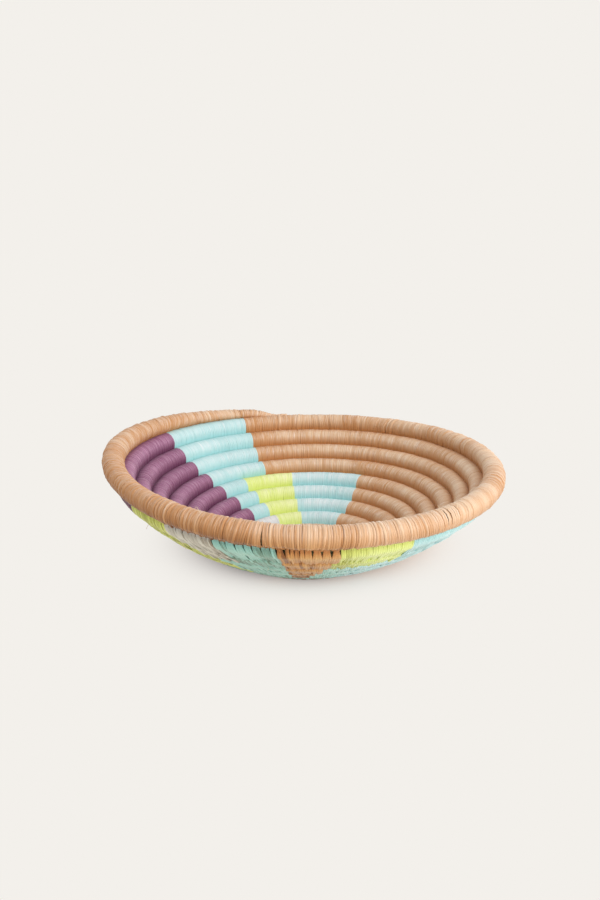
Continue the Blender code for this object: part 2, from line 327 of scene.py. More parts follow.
# Angles on the section: where a stitch starts, in the groove inside the bowl, where it leaves
# its own row, and where it dives into the row below
GROOVE_ANGLE = -152.0
RIM_DIVE_FROM, WALL_DIVE_FROM = 150.0, 112.0
RIM_DIVE_AT, WALL_DIVE_AT, CROSSING_DIVE_AT = 24.0, 60.0, 12.0
DIVE_SPREAD_RIM, DIVE_SPREAD_WALL = 2.5, 5.0
# The last points: how far round the row below, and how deep in it, as a share of its size
DIVE_ANGLES = np.array((0.0, 7.0, -10.0, -30.0))
DIVE_SIZES = 1.0 + np.array((0.05, -0.09, -0.45, -0.45))
CLOSING_SHARES, CLOSING_SIZE = np.linspace(0.2, 0.8, 4), 0.9


def stitch_outline(turn, crossing, rng):
    """Each stitch's closed line in radius and height, and the angle of each point on its own row."""
    own, below = section_at(turn), section_at(turn + 1.0)
    has_below = turn + 1.0 < COIL_TURNS
    dive_from = mix(RIM_DIVE_FROM, WALL_DIVE_FROM, own["past_rim"])
    spread = mix(DIVE_SPREAD_RIM, DIVE_SPREAD_WALL, own["past_rim"])
    dive_at = mix(RIM_DIVE_AT, WALL_DIVE_AT, own["past_rim"]) + spread * rng.normal(0.0, 1.0, len(turn))
    dive_at = np.where(crossing, CROSSING_DIVE_AT, dive_at)
    share = np.linspace(0.0, 1.0, OWN_POINTS)
    own_angles = GROOVE_ANGLE + (dive_from - GROOVE_ANGLE)[:, None] * share
    own_line = on_section(own, own_angles)
    lap_line = on_section(below, dive_at[:, None] + DIVE_ANGLES, DIVE_SIZES)
    closing_angles = dive_from[:, None] + (GROOVE_ANGLE + 360.0 - dive_from)[:, None] * CLOSING_SHARES
    ring_line = on_section(own, closing_angles, CLOSING_SIZE)
    lap_line = np.where(has_below[:, None, None], lap_line, ring_line)
    angles = np.concatenate([own_angles, closing_angles], axis=1)
    return own, np.concatenate([own_line, lap_line], axis=1), angles


sample = stitch_outline(np.array([4.0]), np.array([False]), np.random.default_rng(0))[1][0]
sample_steps = np.linalg.norm(sample - np.roll(sample, 1, axis=0), axis=1)
print(f"one stitch in the wall: {len(sample)} points, {sample_steps.sum():.1f} mm of thread")

# %% [markdown]
# The photograph shows pale crests, deep-coloured grooves and an outside yellower than the
# inside. All follow from where a point lies on its row, so each point gets them as numbers,
# and the material turns those into colour. Colouring by height instead would slip off the
# rows wherever the wall is uneven.

# %% Painted light and shade: crest and groove, and the outside from the inside
# How much painted light a point takes, at angles on the section, then for the four points of the lap: 1 is a
# painted highlight on a crest, 0 is painted shade in a groove or under the row above
PAINTED_LIGHT_ANGLES = (-152.0, -108.0, -72.0, -30.0, 40.0, 75.0)
PAINTED_LIGHT_WALL = (0.0, 1.0, 1.0, 0.35, 0.1, 0.8)
PAINTED_LIGHT_RIM = (0.0, 0.8, 1.0, 1.0, 0.8, 0.5)
PAINTED_LIGHT_LAP = (0.4, 0.15, 0.0, 0.0)
# Angles on the section between which the outside's painted shade begins, then how strong that painted shade,
# darker and yellower, is by angle round the basket: most on the left and front, least on the right
OUTSIDE_RIM, OUTSIDE_WALL = (25.0, 130.0), (0.0, 50.0)
OUTSIDE_PAINTED_SHADE_AT = (90.0, 180.0, 262.0, 280.0, 290.0, 359.0)
OUTSIDE_PAINTED_SHADE = (0.5, 0.9, 1.0, 0.8, 0.08, 0.08)


def painted_light_of(angles, past_rim):
    """Painted light on each point: 1 for a painted highlight on the crest of a row, 0 for painted shade down
    in a groove.
    """
    own = angles[:, :OWN_POINTS]
    on_rim, on_wall = np.interp(own, PAINTED_LIGHT_ANGLES, PAINTED_LIGHT_RIM), np.interp(own, PAINTED_LIGHT_ANGLES, PAINTED_LIGHT_WALL)
    painted_crest_light = mix(on_rim, on_wall, past_rim[:, None])
    return np.concatenate([painted_crest_light, np.broadcast_to(PAINTED_LIGHT_LAP, (len(own), len(PAINTED_LIGHT_LAP)))], axis=1)


def outside_shade_of(turn, angles, past_rim):
    """How much painted shade, darker and yellower, a point takes: 0 inside the bowl, up to 1 on its outside
    and under the rim.
    """
    outside_shade = mix(ease(angles, *OUTSIDE_RIM), ease(angles, *OUTSIDE_WALL), past_rim[:, None])
    outside_shade[:, OWN_POINTS:] = 1.0
    return outside_shade * round_basket(turn, OUTSIDE_PAINTED_SHADE_AT, OUTSIDE_PAINTED_SHADE)[:, None]


# %% [markdown]
# ## How stitches lie
# Along the coil a stitch is pulled aside by four things: the lean of the maker's hand, the
# habit of sewing a few stitches into one hole, so that they fan out below the rim, the slant
# of the thread on the outside, and two slits on the rim where the wraps have moved apart. A
# few wraps on the rim lie across the others. Each is a small sum over all the points at once.

# %% Move stitches sideways
STITCH_PITCH = 1.05
LEAN_RIM, LEAN_WALL = 1.5, 0.4
LEAN_SPREAD_RIM, LEAN_SPREAD_WALL = 0.13, 0.05
GROUP_SIZES, PINCH_SPREAD = (2, 5), (0.3, 1.0)
# How far a group is drawn together on top of its row, much in these lengths and little in the
# others, and the angles on the section at which that starts to grow and is full
OPEN_PINCH = {"binding_row_01_tan_front": 0.75, "binding_row_02_tan_front": 0.4,
              "binding_row_01_aqua_front": 0.35, "binding_row_01_white_front_left": 0.3}
CLOSE_PINCH, PINCH_GROWS = 0.12, (90.0, 30.0)
# On the outside the thread slants: this far sideways, in mm, at these angles round the basket.
# It starts at SLANT_FROM on the section, has gone that far SLANT_REACH degrees on, and goes on
# to SLANT_MOST times as far.
SLANT_AT = (150.0, 205.0, 225.0, 256.0, 266.0, 296.0, 306.0, 345.0)
SLANTS = (1.0, 2.5, 4.0, 3.6, 0.3, 0.0, -2.2, -1.0)
SLANT_FROM, SLANT_REACH, SLANT_MOST = 25.0, 100.0, 1.2
# Each slit on the rim: its turn number, half its width and how far along it pushes the wraps
SLITS = ((0.4475, 0.42, 1.6), (0.5385, 0.2, 1.2))
SLIT_OPENS, SLIT_CLOSES = (-10.0, 60.0), (190.0, 110.0)


def groups_of(count, rng):
    """How far each stitch lies from the middle of its group, in stitches, and how tight the group is."""
    sizes = rng.integers(*GROUP_SIZES, count)
    ends = np.cumsum(sizes)
    group = np.searchsorted(ends, np.arange(count), side="right")
    return np.arange(count) - (ends - sizes / 2.0 - 0.5)[group], rng.uniform(*PINCH_SPREAD, count)[group]


def sideways(turn, places, angles, own, pinch, rng):
    """How far each point is pulled along the coil: lean, groups, slant and the slits on the rim."""
    count = len(turn)
    on_rim = (1.0 - own["past_rim"])[:, None]
    up_share = np.cos(np.radians(angles))
    lean = mix(LEAN_RIM, LEAN_WALL, own["past_rim"]) * lean_drift(places)
    spread = mix(LEAN_SPREAD_RIM, LEAN_SPREAD_WALL, own["past_rim"])
    aside = (lean + spread * rng.normal(0.0, 1.0, count))[:, None] * up_share
    from_middle, tightness = groups_of(count, rng)
    pinched = ease(angles, *PINCH_GROWS) * (angles > 0.0) * own["past_rim"][:, None]
    aside -= pinch * STITCH_PITCH * (from_middle * tightness)[:, None] * pinched
    down_outside = np.clip((angles - SLANT_FROM) / SLANT_REACH, 0.0, SLANT_MOST)
    aside += round_basket(turn, SLANT_AT, SLANTS)[:, None] * down_outside * own["past_rim"][:, None]
    for slit_turn, half_width, reach in SLITS:
        distance = places - np.interp(slit_turn, PROFILE[0], PROFILE[4])
        push = half_width * np.sign(distance) * np.exp(-np.abs(distance) / reach)
        aside += push[:, None] * ease(angles, *SLIT_OPENS) * ease(angles, *SLIT_CLOSES) * on_rim
    return aside


# %% Put the stitches in their places
THREAD_THICKNESS = 0.40
FLOOR_CLEARANCE = 0.25
# How far stitches stand out from each other, and how far a lump of grass lifts them
HEIGHT_SPREAD_RIM, HEIGHT_SPREAD_WALL, LUMP = 0.085, 0.035, 0.10
# Wraps that cross others: their share of the rim's, how far they slant and stand out, and how
# far they keep from the two ends of the rim's turn
CROSSING_SHARE, CROSSING_SLANT, CROSSING_LIFT = 0.14, (0.6, 2.4), 0.18
CROSSING_MARGINS = (20.0, 5.0)


def stitch_places(first, last, rng):
    """Places along the coil of the stitches between two turn numbers, and which of them cross others."""
    # The base bends so tightly that stitches are spaced evenly along its outer side instead
    bend = ROW_HALF if first >= FIRST_BASE_TURN else 0.0
    ruler = PROFILE[4] + 2.0 * math.pi * bend * PROFILE[0]
    from_mark, to_mark = np.interp((first, last), PROFILE[0], ruler)
    count = max(2, round((to_mark - from_mark) / STITCH_PITCH))
    marks = from_mark + (np.arange(count) + 0.5) * (to_mark - from_mark) / count
    places = np.interp(np.interp(marks, ruler, PROFILE[0]), PROFILE[0], PROFILE[4])
    extra = round(CROSSING_SHARE * count) if first < 1.0 else 0
    if extra:
        from_mm, to_mm = np.interp((first, last), PROFILE[0], PROFILE[4])
        from_mm, to_mm = from_mm + CROSSING_MARGINS[0], to_mm - CROSSING_MARGINS[1]
        places = np.concatenate([places, rng.uniform(from_mm, to_mm, extra)])
    return places, np.arange(count + extra) >= count


def stitch_paths(first, last, pinch, rng):
    """Points of the stitches between two turn numbers, and facts about each: its way out and its shades."""
    places, crossing = stitch_places(first, last, rng)
    count = len(places)
    turn = np.interp(places, PROFILE[4], PROFILE[0])
    own, line, angles = stitch_outline(turn, crossing, rng)
    step = np.roll(line, -1, axis=1) - np.roll(line, 1, axis=1)
    outward = np.stack([-step[..., 1], step[..., 0]], axis=-1)
    outward /= np.linalg.norm(outward, axis=-1, keepdims=True)
    stand = mix(HEIGHT_SPREAD_RIM, HEIGHT_SPREAD_WALL, own["past_rim"]) * rng.normal(0.0, 1.0, count)
    stand += LUMP * lump_drift(places)
    aside = sideways(turn, places, angles, own, pinch, rng)
    slant = np.where(crossing, rng.uniform(*CROSSING_SLANT, count) * rng.choice((-1.0, 1.0), count), 0.0)
    along_wrap = np.clip(np.arange(line.shape[1]) / (OWN_POINTS - 1.0), 0.0, 1.0)
    aside += slant[:, None] * (along_wrap - 0.5)
    rise = stand[:, None] + np.where(crossing, CROSSING_LIFT, 0.0)[:, None] * np.sin(math.pi * along_wrap)
    line = line + outward * (rise[..., None] - THREAD_THICKNESS / 2.0)
    points = place_on_coil(turn[:, None], line, aside)
    points[..., 2] = np.maximum(points[..., 2], FLOOR_CLEARANCE)
    way = np.radians(SEAM_ANGLE + 360.0 * turn)[:, None]
    out_x, out_y = outward[..., 0] * np.cos(way), outward[..., 0] * np.sin(way)
    per_point = np.ones(line.shape[1], dtype=int)
    facts = {
        "facing": np.stack([out_x, out_y, outward[..., 1]], axis=-1),
        "stitch": np.arange(count)[:, None] * per_point,
        "tone": tones_and_painted_light(places, turn, 1.0 - own["past_rim"], rng)[:, None] * per_point,
        "painted_crest_light": painted_light_of(angles, own["past_rim"]),
        "outside_shade": outside_shade_of(turn, angles, own["past_rim"]),
    }
    return points, facts


# %% [markdown]
# ## Lines that carry their own facts
# The stitches of one length of thread go into one mesh of closed edge loops. What the node
# tree and the material need to know about each point travels with it as named attributes.
# Stalks of grass and stray fibres are lines as well, only open, so one function makes both.

# %% A mesh of lines
def lines_mesh(name, points, facts, closed=False):
    """A mesh of edge lines, one for each row of points, with named facts about each point."""
    count, size = points.shape[:2]
    corner = np.arange(count * size).reshape(count, size)
    edges = np.stack([corner, np.roll(corner, -1, axis=1)], axis=-1)
    if not closed:
        edges = edges[:, :-1]
    mesh = bpy.data.meshes.new(name)
    mesh.from_pydata((points.reshape(-1, 3) * MM).tolist(), edges.reshape(-1, 2).tolist(), [])
    for label, values in facts.items():
        kind = "FLOAT_VECTOR" if values.ndim == 3 else "INT" if values.dtype.kind == "i" else "FLOAT"
        field = "vector" if kind == "FLOAT_VECTOR" else "value"
        mesh.attributes.new(label, kind, "POINT").data.foreach_set(field, values.ravel())
    return mesh


# %% [markdown]
# ## From paths to thread
# A node tree turns the lines into thread: each line becomes a curve, its normals are set to
# the outward directions, and a flat four-cornered section is swept along it. Geometry Nodes
# are the right tool here, because one tree serves all the lengths of thread, and the thread's
# width, thickness and spread are inputs that can be changed in one place.

# %% One helper for nodes
def add_node(tree, kind, settings=(), *ordered, output=0, **named):
    """Adds a node, sets its properties and its inputs, by order or by name, and returns an output."""
    node = tree.nodes.new(kind)
    node.location = (200.0 * len(tree.nodes), 0.0)
    for name, value in dict(settings).items():
        setattr(node, name, value)
    shown = [socket for socket in node.inputs if socket.enabled]
    by_name = [next(s for s in shown if s.name.replace(" ", "_") == name) for name in named]
    for socket, value in [*zip(node.inputs, ordered), *zip(by_name, named.values())]:
        if isinstance(value, bpy.types.NodeSocket):
            tree.links.new(value, socket)
        else:
            socket.default_value = value
    outputs = [socket for socket in node.outputs if socket.enabled]
    return outputs[output] if outputs else None


def new_tree(name, inputs):
    """An empty geometry tree with these inputs, as its tree and a dict of the inputs' sockets."""
    tree = bpy.data.node_groups.new(name, "GeometryNodeTree")
    for label, kind in inputs.items():
        tree.interface.new_socket(label, in_out="INPUT", socket_type="NodeSocket" + kind)
    tree.interface.new_socket("Geometry", in_out="OUTPUT", socket_type="NodeSocketGeometry")
    group_input = tree.nodes.new("NodeGroupInput")
    return tree, {label: group_input.outputs[label] for label in inputs}


# %% [markdown]
# The real thread is a split strip of leaf, flat where it lies on the grass and rounded on its
# face. So its section is a trapezium, narrower on top, and stitches differ in width. The tree
# also notes how far along its stitch and how far across the thread each point lies, because
# the fibres in the material follow both.

# %% The thread tree
THREAD_WIDTH, THREAD_TOP = 1.42, 0.62
POINT_VALUE = {"data_type": "FLOAT", "domain": "POINT"}


def finish_tree(tree, geometry, material):
    """The last steps of each tree: smooth shading, real geometry, a material and the output."""
    geometry = add_node(tree, "GeometryNodeSetShadeSmooth", Geometry=geometry)
    geometry = add_node(tree, "GeometryNodeRealizeInstances", Geometry=geometry)
    geometry = add_node(tree, "GeometryNodeSetMaterial", Geometry=geometry, Material=material)
    add_node(tree, "NodeGroupOutput", Geometry=geometry)
    return tree


def thread_tree():
    """Sweeps the thread's flat section along closed lines, each stitch in a width of its own."""
    tree, given = new_tree("sewn_thread", {
        "Paths": "Geometry", "Thread Width": "Float", "Thread Thickness": "Float",
        "Width Spread": "Float", "Seed": "Int", "Thread": "Material"})
    facing = add_node(tree, "GeometryNodeInputNamedAttribute", {"data_type": "FLOAT_VECTOR"}, Name="facing")
    stitch = add_node(tree, "GeometryNodeInputNamedAttribute", {"data_type": "INT"}, Name="stitch")
    curves = add_node(tree, "GeometryNodeMeshToCurve", Mesh=given["Paths"])
    curves = add_node(tree, "GeometryNodeSetCurveNormal", {"mode": "FREE"}, Curve=curves, Normal=facing)
    narrow = add_node(tree, "ShaderNodeMath", {"operation": "SUBTRACT"}, 1.0, given["Width Spread"])
    wide = add_node(tree, "ShaderNodeMath", {"operation": "ADD"}, 1.0, given["Width Spread"])
    width = add_node(tree, "FunctionNodeRandomValue", Min=narrow, Max=wide, ID=stitch, Seed=given["Seed"])
    along = add_node(tree, "GeometryNodeSplineParameter", output=1)
    curves = add_node(tree, "GeometryNodeStoreNamedAttribute", POINT_VALUE,
                      Geometry=curves, Name="along", Value=along)
    top = add_node(tree, "ShaderNodeMath", {"operation": "MULTIPLY"}, given["Thread Width"], THREAD_TOP)
    section = add_node(tree, "GeometryNodeCurvePrimitiveQuadrilateral", {"mode": "TRAPEZOID"},
                       Bottom_Width=given["Thread Width"], Top_Width=top,
                       Height=given["Thread Thickness"], Offset=0.0)
    across = add_node(tree, "ShaderNodeSeparateXYZ", (), add_node(tree, "GeometryNodeInputPosition"))
    across = add_node(tree, "ShaderNodeMath", {"operation": "DIVIDE"}, across, given["Thread Width"])
    section = add_node(tree, "GeometryNodeStoreNamedAttribute", POINT_VALUE,
                       Geometry=section, Name="across", Value=across)
    section = add_node(tree, "GeometryNodeTransform", Geometry=section, Rotation=(0.0, 0.0, -math.pi / 2.0))
    thread = add_node(tree, "GeometryNodeCurveToMesh", Curve=curves, Profile_Curve=section, Scale=width)
    return finish_tree(tree, thread, given["Thread"])


flat_thread = thread_tree()
print("thread tree:", len(flat_thread.nodes), "nodes")

# %% [markdown]
# ## Colours of the thread
# The thread is split sisal leaf, boiled with dye, scraped and dried. That gives the eye three things: a soft
# satin sheen along the fibres, shades that change from strand to strand, and grooves deeper in colour than
# the crests, because light there falls from thread to thread; here that depth of colour is painted shade,
# and the crests get a painted highlight. So one function makes all five materials from five colours each,
# and the shade and the painted light on crest and groove come from the stitches' own attributes. Hex values
# are colours as they are seen, and one function turns them into the linear ones that light adds up in.

# %% Colours as they are seen
# Each dye: its painted shade down in a groove, a dark strand, a pale strand, the painted highlight of pale
# fibres on its crest, and the darker, yellower tint that the outside's painted shade multiplies in.
DYES = {
    "tan": ("#C08652", "#C89260", "#E7C9AA", "#FAF2EF", "#FFE9AC"),
    "aqua": ("#A8DCE0", "#BAE0E5", "#DEEEF4", "#EFF6FA", "#DDF2DF"),
    "purple": ("#6A3058", "#8D527A", "#B780A5", "#D5B5CB", "#FBF3E6"),
    "lime": ("#DAE97F", "#DFEE8C", "#F1F8BC", "#F9FBDA", "#FDF9D0"),
    "white": ("#CACCCE", "#DDDEE1", "#EFF0F4", "#FAFAFE", "#FFF9E6"),
}


def linear(hex_colour):
    """A linear colour from an sRGB hex value."""
    channels = [int(hex_colour[i:i + 2], 16) / 255.0 for i in (1, 3, 5)]
    return tuple(c / 12.92 if c <= 0.04045 else ((c + 0.055) / 1.055) ** 2.4 for c in channels) + (1.0,)


print("a pale tan strand in linear values:", np.round(linear(DYES["tan"][2]), 2))

# %% [markdown]
# ## The look of split sisal
# The thread is a ribbon of parallel fibres. Noise that is stretched along each stitch draws them, and one
# and the same noise gives their shade, a painted highlight on their pale backs along a crest, the dust
# between them and a slight relief, so all of these agree. Real fibres are 0.1 mm wide, and these are 0.25
# mm, so that they show. The outside's painted shade, darker and yellower, and its dust are put on by
# multiplying, as both take light away and add none.

# %% Split sisal: satin sheen along the fibres
SISAL_ROUGHNESS, SISAL_SPECULAR, SISAL_SHEEN = 0.48, 0.45, 0.12
FIBRE_WIDTH, FIBRE_LENGTH, FIBRE_BUMP = 0.25, 6.0, 0.05
# How far apart the noise of one stitch lies from that of the next
STITCH_SHIFT = 3.7
# What the fibres add to a stitch's own shade, and the sums at which it is dark and pale
FIBRE_SHADE, SHADE_SPAN = 0.7, (0.35, 1.35)
# What the fibres and the crest add to the painted highlight on a fibre's back, the sums at which that begins
# and ends, and how much of the pale colour it then takes
HIGHLIGHT_BY_FIBRE, HIGHLIGHT_BY_CREST, HIGHLIGHT_SPAN, HIGHLIGHT_MOST = 2.2, 0.5, (1.55, 2.3), 0.7
# The colour of dust, and the shades at which it lies thick and at which there is none; it lies only as far
# as the outside's painted shade goes
DUST, DUST_SPAN = "#AC9F8C", (0.45, 0.95)
MULTIPLY, MULTIPLY_ADD = {"operation": "MULTIPLY"}, {"operation": "MULTIPLY_ADD"}
LAY_OVER, DARKEN = {"data_type": "RGBA"}, {"data_type": "RGBA", "blend_type": "MULTIPLY"}


def new_material(name):
    """A material with an empty node tree."""
    material = bpy.data.materials.new(name)
    material.use_nodes = True
    material.node_tree.nodes.clear()
    return material, material.node_tree


def sisal_thread(dye, groove_shade, dark, pale, fibre, outside_shade_tint):
    """Streaked fibres in this dye's colours, from painted shade in a groove to a painted highlight on a
    crest, then the outside's painted shade.
    """
    material, tree = new_material(f"sisal_thread_{dye}")
    tone, painted_crest_light, outside_shade, across, along, stitch = (
        add_node(tree, "ShaderNodeAttribute", {"attribute_name": name}, output=2)
        for name in ("tone", "painted_crest_light", "outside_shade", "across", "along", "stitch"))
    across = add_node(tree, "ShaderNodeMath", MULTIPLY, across, THREAD_WIDTH / FIBRE_WIDTH)
    along = add_node(tree, "ShaderNodeMath", MULTIPLY, along, 1.0 / (FIBRE_LENGTH * MM))
    shift = add_node(tree, "ShaderNodeMath", MULTIPLY, stitch, STITCH_SHIFT)
    place = add_node(tree, "ShaderNodeCombineXYZ", (), across, along, shift)
    fibres = add_node(tree, "ShaderNodeTexNoise", {"noise_dimensions": "3D"}, Vector=place, Scale=1.0,
                      Detail=2.0, Roughness=0.6)
    streaks = add_node(tree, "ShaderNodeMath", MULTIPLY_ADD, fibres, FIBRE_SHADE, tone)
    shade = add_node(tree, "ShaderNodeMapRange", (), streaks, *SHADE_SPAN, 0.0, 1.0)
    body = add_node(tree, "ShaderNodeMix", LAY_OVER, Factor=shade, A=linear(dark), B=linear(pale))
    # back: the painted highlight on a fibre's back, from its fibres and the crest
    back = add_node(tree, "ShaderNodeMath", MULTIPLY, fibres, HIGHLIGHT_BY_FIBRE)
    back = add_node(tree, "ShaderNodeMath", MULTIPLY_ADD, painted_crest_light, HIGHLIGHT_BY_CREST, back)
    back = add_node(tree, "ShaderNodeMapRange", (), back, *HIGHLIGHT_SPAN, 0.0, HIGHLIGHT_MOST)
    body = add_node(tree, "ShaderNodeMix", LAY_OVER, Factor=back, A=body, B=linear(fibre))
    # Painted shade: the groove colour where the crest number is low
    body = add_node(tree, "ShaderNodeMix", LAY_OVER, Factor=painted_crest_light, A=linear(groove_shade), B=body)
    # Painted shade on the outside, darker and yellower
    body = add_node(tree, "ShaderNodeMix", DARKEN, Factor=outside_shade, A=body, B=linear(outside_shade_tint))
    dust = add_node(tree, "ShaderNodeMapRange", (), streaks, *DUST_SPAN, 1.0, 0.0)
    dust = add_node(tree, "ShaderNodeMath", MULTIPLY, dust, outside_shade)
    body = add_node(tree, "ShaderNodeMix", DARKEN, Factor=dust, A=body, B=linear(DUST))
    bump = add_node(tree, "ShaderNodeBump", Height=fibres, Strength=1.0, Distance=FIBRE_BUMP * MM)
    shader = add_node(tree, "ShaderNodeBsdfPrincipled", Base_Color=body, Roughness=SISAL_ROUGHNESS,
                      Specular_IOR_Level=SISAL_SPECULAR, Sheen_Weight=SISAL_SHEEN, Normal=bump)
    add_node(tree, "ShaderNodeOutputMaterial", Surface=shader)
    return material


threads = {dye: sisal_thread(dye, *colours) for dye, colours in DYES.items()}
print("thread materials:", ", ".join(material.name for material in threads.values()))

# %% [markdown]
# ## Sew the coil
# Each length of thread becomes one piece, made by the same tree, and takes the place of the
# plain sleeve in the frame. The tree's inputs are set by their identifiers before the object
# is first evaluated, and the result is kept as a plain mesh.

# %% Sew every length of thread
WIDTH_SPREAD = 0.18
FIRST_SEED = 100


def grown(name, source, tree, values):
    """A plain mesh object from a source mesh, a tree and values for the tree's inputs."""
    piece = bpy.data.objects.new(name, source)
    bpy.context.scene.collection.objects.link(piece)
    modifier = piece.modifiers.new(tree.name, "NODES")
    modifier.node_group = tree
    for item in tree.interface.items_tree:
        if item.item_type == "SOCKET" and item.in_out == "INPUT" and item.name in values:
            modifier[item.identifier] = values[item.name]
    evaluated = piece.evaluated_get(bpy.context.evaluated_depsgraph_get())
    mesh = bpy.data.meshes.new_from_object(evaluated)
    piece.modifiers.remove(modifier)
    piece.data = mesh
    mesh.name = name
    bpy.data.meshes.remove(source)
    return piece


def triangles(piece):
    return sum(len(face.vertices) - 2 for face in piece.data.polygons)


stitch_total = triangle_total = 0
for number, (first, last, node) in enumerate(runs):
    rng = np.random.default_rng(FIRST_SEED + number)
    points, facts = stitch_paths(first, last, OPEN_PINCH.get(node, CLOSE_PINCH), rng)
    lines = lines_mesh(node + "_lines", points, facts, closed=True)
    piece = grown(node.replace("binding", "stitches"), lines, flat_thread, {
        "Thread Width": THREAD_WIDTH * MM, "Thread Thickness": THREAD_THICKNESS * MM,
        "Width Spread": WIDTH_SPREAD, "Seed": number, "Thread": threads[colour_of(node)]})
    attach(piece, "root")
    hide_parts(node)
    stitch_total += len(points)
    triangle_total += triangles(piece)
print(f"sewn: {len(runs)} lengths, {stitch_total} stitches, {triangle_total} triangles")

# %% [markdown]
# ## The grass inside
# The bundle shows only in the small gaps between stitches under the rim, as dull green-grey stalks. It is
# still made as it is: a ring of stalks that twist slowly round a heart, all the way along the spiral, and
# the heart takes the darkest shade as painted shade deep in the bundle. A smooth tube would show as plastic
# wherever a gap is wide. Each stalk is a line with its own shade, and a second tree sweeps a round section
# along it.

# %% A tree for stalks
def stalk_tree():
    """Sweeps a round section of a given number of sides along lines, and closes the ends."""
    tree, given = new_tree("round_stalks", {"Lines": "Geometry", "Sides": "Int", "Surface": "Material"})
    thickness = add_node(tree, "GeometryNodeInputNamedAttribute", {"data_type": "FLOAT"}, Name="thickness")
    curves = add_node(tree, "GeometryNodeMeshToCurve", Mesh=given["Lines"])
    section = add_node(tree, "GeometryNodeCurvePrimitiveCircle", {"mode": "RADIUS"},
                       Resolution=given["Sides"], Radius=1.0)
    stalks = add_node(tree, "GeometryNodeCurveToMesh", Curve=curves, Profile_Curve=section,
                      Scale=thickness, Fill_Caps=True)
    return finish_tree(tree, stalks, given["Surface"])


round_stalks = stalk_tree()
print("stalk tree:", len(round_stalks.nodes), "nodes")

# %% [markdown]
# Dry grass is dull and specked, and the heart of the bundle is painted darker, as painted shade deep in it.
# Only a sliver of it is ever seen, so a shade for each stalk and one layer of noise are enough.

# %% Dried grass: dull and fibrous, hardly any gloss
GRASS_DARK, GRASS_PALE = "#2E3026", "#7F8A62"
GRASS_ROUGHNESS, GRASS_SPECULAR = 0.85, 0.25
# Nine specks to a centimetre
SPECK_SIZE, SPECK_BUMP, SPECK_STRENGTH = 10.0 / 9.0, 0.1, 0.6
# The sums of a stalk's shade and its specks at which grass is dark and pale
GRASS_SPAN = (0.5, 1.375)


def dried_grass():
    material, tree = new_material("dried_grass")
    place = add_node(tree, "ShaderNodeTexCoord", output=3)
    specks = add_node(tree, "ShaderNodeTexNoise", Vector=place, Scale=1.0 / (SPECK_SIZE * MM), Detail=2.0)
    tone = add_node(tree, "ShaderNodeAttribute", {"attribute_name": "tone"}, output=2)
    shade = add_node(tree, "ShaderNodeMath", {"operation": "ADD"}, tone, specks)
    shade = add_node(tree, "ShaderNodeMapRange", (), shade, *GRASS_SPAN, 0.0, 1.0)
    colour = add_node(tree, "ShaderNodeMix", LAY_OVER, Factor=shade,
                      A=linear(GRASS_DARK), B=linear(GRASS_PALE))
    bump = add_node(tree, "ShaderNodeBump", Height=specks, Strength=SPECK_STRENGTH, Distance=SPECK_BUMP * MM)
    shader = add_node(tree, "ShaderNodeBsdfPrincipled", Base_Color=colour, Roughness=GRASS_ROUGHNESS,
                      Specular_IOR_Level=GRASS_SPECULAR, Normal=bump)
    add_node(tree, "ShaderNodeOutputMaterial", Surface=shader)
    return material


# %% Twist the grass bundle
STALKS, STALK_RADIUS, STALK_SIDES = 10, 1.05, 5
BUNDLE_DEPTH, TWIST_PITCH, HEART_SHARE = 0.75, 60.0, 0.62
GRASS_STEP, GRASS_SEED = 4.5, 41
# Over the flat base the stalks keep this height, so that none comes through the thread
STALK_CLEARANCE = 1.7

distance = np.linspace(0.0, COIL_LENGTH, int(COIL_LENGTH / GRASS_STEP))
station = np.interp(distance, PROFILE[4], PROFILE[0])
bundle = section_at(station)
slimness = bundle["down"] / ROW_HALF
reach = 1.0 - (STALK_RADIUS + BUNDLE_DEPTH) / ROW_HALF
rng = np.random.default_rng(GRASS_SEED)
lines, radii, tones = [], [], []
for stalk in range(STALKS):
    angles = 360.0 * stalk / STALKS + 360.0 * distance / TWIST_PITCH
    line = place_on_coil(station, on_section(bundle, angles[:, None], reach)[:, 0])
    line[:, 2] = np.maximum(line[:, 2], STALK_CLEARANCE)
    lines.append(line)
    radii.append(STALK_RADIUS * slimness)
    tones.append(np.full(len(station), rng.uniform(0.0, 1.0)))
lines.append(place_on_coil(station, bundle["centre"]))
radii.append(HEART_SHARE * ROW_HALF * slimness)
# The heart takes the darkest shade: painted shade deep in the bundle
tones.append(np.zeros(len(station)))
facts = {"thickness": np.array(radii) * MM, "tone": np.array(tones)}
source = lines_mesh("grass_lines", np.array(lines), facts)
grass_bundle = grown("grass_bundle", source, round_stalks, {"Sides": STALK_SIDES, "Surface": dried_grass()})
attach(grass_bundle, "root")
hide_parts("grass_core")
print(f"grass: {STALKS} stalks and a heart, {triangles(grass_bundle)} triangles")

# %% [markdown]
# ## Stray fibres
# Here and there a fibre has split off its thread and stands away as a fine pale hair. The
# photograph shows a loop on the rim at the left, a few short ends on its crest, and a tuft
# where the lime thread was cut off on the outside. Each is a thin line between two points of
# the coil, bowed outwards, or free at its far end. They are drawn 0.2 mm thick, twice as
# thick as they are, so that they show.

# %% Let some fibres stand away
HAIR_RADIUS, HAIR_POINTS, HAIR_SIDES = 0.10, 8, 3
HAIR_COLOUR, HAIR_ROUGHNESS, HAIR_SPECULAR = "#EBD6B4", 0.5, 0.4
